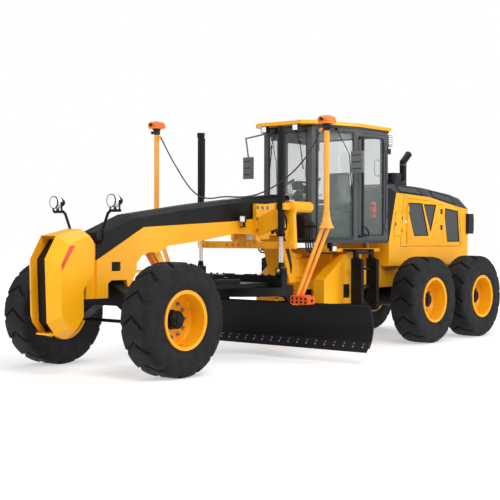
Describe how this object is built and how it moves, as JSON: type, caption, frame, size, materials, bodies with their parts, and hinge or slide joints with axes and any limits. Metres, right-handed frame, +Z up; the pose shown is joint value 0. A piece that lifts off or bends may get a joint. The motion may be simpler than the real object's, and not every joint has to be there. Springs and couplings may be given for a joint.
{
  "type": "motor grader",
  "caption": "Yellow and black articulated motor grader that levels ground with a blade under its arched frame, with a glazed cab and a rear engine hood.",
  "frame": {"origin": "on the ground, at the bottom centre of the whole machine's box", "axes": "+X forward along the machine, +Y to the machine's left, +Z up"},
  "size_m": [9.234, 4.27, 3.363],
  "materials": {
    "yellow_paint": "gloss enamel over steel plate",
    "black_paint": "satin enamel over steel plate",
    "cab_grey": "satin powder coat",
    "tyre_rubber": "moulded rubber",
    "chrome": "ground and plated",
    "tinted_glass": "tinted safety glass",
    "black_plastic": "moulded, lightly grained",
    "seat_cloth": "woven cloth over foam",
    "engine_iron": "painted casting",
    "edge_steel": "rolled wear steel",
    "cable_rubber": "extruded black jacket",
    "mast_orange": "powder coat over tube"
  },
  "bodies": {
    "rear_frame": {"rear_frame": "yellow_paint", "tandem_axle": "black_paint", "hood_shell": "yellow_paint", "hood_top": "black_paint", "hood_front": "black_paint", "hood_grilles": "black_paint", "engine_block": "engine_iron", "exhaust": "black_paint", "precleaner": "black_plastic", "cab_frame": "cab_grey", "cab_glass": "tinted_glass", "cab_roof": "yellow_paint", "seat": "seat_cloth", "console": "black_plastic", "steps": "black_paint", "grab_rails": "black_paint", "mirrors": "black_plastic", "work_lamps": "black_plastic"},
    "front_frame": {"front_frame": "yellow_paint", "frame_cover": "black_paint", "nose_weight": "yellow_paint", "nose_panel": "black_paint", "front_lamps": "black_paint", "saddle": "yellow_paint", "front_axle": "black_paint"},
    "knuckle_left": {"knuckle_left": "black_paint"},
    "knuckle_right": {"knuckle_right": "black_paint"},
    "tie_rod": {"tie_rod": "black_paint"},
    "lift_barrel_left": {"lift_barrel_left": "black_paint"},
    "lift_barrel_right": {"lift_barrel_right": "black_paint"},
    "lift_rod_left": {"lift_rod_left": "chrome"},
    "lift_rod_right": {"lift_rod_right": "chrome"},
    "drawbar": {"drawbar": "black_paint"},
    "circle": {"circle": "black_paint"},
    "blade_carrier": {"blade_carrier": "black_paint"},
    "mouldboard": {"mouldboard": "black_paint", "cutting_edge": "edge_steel", "masts": "mast_orange", "receivers": "mast_orange", "mast_cable": "cable_rubber"},
    "door_left": {"door_left": "cab_grey", "door_glass_left": "tinted_glass"},
    "door_right": {"door_right": "cab_grey", "door_glass_right": "tinted_glass"},
    "hood_door_left": {"hood_door_left": "yellow_paint", "door_grille_left": "black_paint"},
    "hood_door_right": {"hood_door_right": "yellow_paint", "door_grille_right": "black_paint"},
    "wheel_front_left": {"tyre_front_left": "tyre_rubber", "rim_front_left": "yellow_paint"},
    "wheel_front_right": {"tyre_front_right": "tyre_rubber", "rim_front_right": "yellow_paint"},
    "wheel_middle_left": {"tyre_middle_left": "tyre_rubber", "rim_middle_left": "yellow_paint"},
    "wheel_middle_right": {"tyre_middle_right": "tyre_rubber", "rim_middle_right": "yellow_paint"},
    "wheel_rear_left": {"tyre_rear_left": "tyre_rubber", "rim_rear_left": "yellow_paint"},
    "wheel_rear_right": {"tyre_rear_right": "tyre_rubber", "rim_rear_right": "yellow_paint"}
  },
  "joints": [
    {"name": "articulation", "type": "hinge", "parent": "rear_frame", "child": "front_frame", "pos_m": [-0.157, 0, 1.2], "axis": [0, 0, 1], "range_deg": [-25, 25]},
    {"name": "steer_left", "type": "hinge", "parent": "front_frame", "child": "knuckle_left", "pos_m": [3.483, 0.84, 0.675], "axis": [0, 0, 1], "range_deg": [-40, 40]},
    {"name": "steer_right", "type": "hinge", "parent": "front_frame", "child": "knuckle_right", "pos_m": [3.483, -0.84, 0.675], "axis": [0, 0, 1], "range_deg": [-40, 40]},
    {"name": "tie_rod_swing", "type": "hinge", "parent": "knuckle_left", "child": "tie_rod", "pos_m": [3.243, 0.84, 0.615], "axis": [0, 0, 1], "range_deg": [-40, 40]},
    {"name": "roll_front_left", "type": "hinge", "parent": "knuckle_left", "child": "wheel_front_left", "pos_m": [3.483, 1.07, 0.675], "axis": [0, 1, 0], "continuous": true},
    {"name": "roll_front_right", "type": "hinge", "parent": "knuckle_right", "child": "wheel_front_right", "pos_m": [3.483, -1.07, 0.675], "axis": [0, 1, 0], "continuous": true},
    {"name": "roll_middle_left", "type": "hinge", "parent": "rear_frame", "child": "wheel_middle_left", "pos_m": [-2.117, 1.07, 0.675], "axis": [0, 1, 0], "continuous": true},
    {"name": "roll_middle_right", "type": "hinge", "parent": "rear_frame", "child": "wheel_middle_right", "pos_m": [-2.117, -1.07, 0.675], "axis": [0, 1, 0], "continuous": true},
    {"name": "roll_rear_left", "type": "hinge", "parent": "rear_frame", "child": "wheel_rear_left", "pos_m": [-3.657, 1.07, 0.675], "axis": [0, 1, 0], "continuous": true},
    {"name": "roll_rear_right", "type": "hinge", "parent": "rear_frame", "child": "wheel_rear_right", "pos_m": [-3.657, -1.07, 0.675], "axis": [0, 1, 0], "continuous": true},
    {"name": "drawbar_lift", "type": "hinge", "parent": "front_frame", "child": "drawbar", "pos_m": [3.183, 0, 0.99], "axis": [0, 1, 0], "range_deg": [-4.2, 7]},
    {"name": "lift_barrel_swing_left", "type": "hinge", "parent": "front_frame", "child": "lift_barrel_left", "pos_m": [1.063, 0.746, 2.06], "axis": [0, 1, 0], "range_deg": [-3, 3]},
    {"name": "lift_rod_slide_left", "type": "slide", "parent": "lift_barrel_left", "child": "lift_rod_left", "axis": [0, 0, 1], "range_m": [-0.2, 0.3]},
    {"name": "lift_barrel_swing_right", "type": "hinge", "parent": "front_frame", "child": "lift_barrel_right", "pos_m": [1.063, -0.746, 2.06], "axis": [0, 1, 0], "range_deg": [-3, 3]},
    {"name": "lift_rod_slide_right", "type": "slide", "parent": "lift_barrel_right", "child": "lift_rod_right", "axis": [0, 0, 1], "range_m": [-0.2, 0.3]},
    {"name": "circle_turn", "type": "hinge", "parent": "drawbar", "child": "circle", "pos_m": [1.033, 0, 0.9], "axis": [0, 0, -1], "range_deg": [-45, 45]},
    {"name": "blade_tilt", "type": "hinge", "parent": "circle", "child": "blade_carrier", "pos_m": [0.703, 0, 0.32], "axis": [0, 1, 0], "range_deg": [-5, 20]},
    {"name": "blade_shift", "type": "slide", "parent": "blade_carrier", "child": "mouldboard", "axis": [0, 1, 0], "range_m": [-0.2, 0.2], "deforming": ["mast_cable"]},
    {"name": "door_swing_left", "type": "hinge", "parent": "rear_frame", "child": "door_left", "pos_m": [-1.517, 0.762, 2.4], "axis": [0, 0, 1], "range_deg": [0, 90]},
    {"name": "hood_door_swing_left", "type": "hinge", "parent": "rear_frame", "child": "hood_door_left", "pos_m": [-2.378, 0.612, 1.88], "axis": [0, 0, -1], "range_deg": [0, 90]},
    {"name": "door_swing_right", "type": "hinge", "parent": "rear_frame", "child": "door_right", "pos_m": [-1.517, -0.762, 2.4], "axis": [0, 0, -1], "range_deg": [0, 90]},
    {"name": "hood_door_swing_right", "type": "hinge", "parent": "rear_frame", "child": "hood_door_right", "pos_m": [-2.378, -0.612, 1.88], "axis": [0, 0, 1], "range_deg": [0, 90]}
  ],
  "couplings": [
    {"joint": "steer_right", "follows": "steer_left", "ratio": 1},
    {"joint": "tie_rod_swing", "follows": "steer_left", "ratio": -1},
    {"joint": "lift_barrel_swing_left", "follows": "drawbar_lift", "ratio": -0.29},
    {"joint": "lift_barrel_swing_right", "follows": "drawbar_lift", "ratio": -0.29},
    {"joint": "lift_rod_slide_left", "follows": "drawbar_lift", "m_per_rad": 2.1257},
    {"joint": "lift_rod_slide_right", "follows": "drawbar_lift", "m_per_rad": 2.1257}
  ]
}
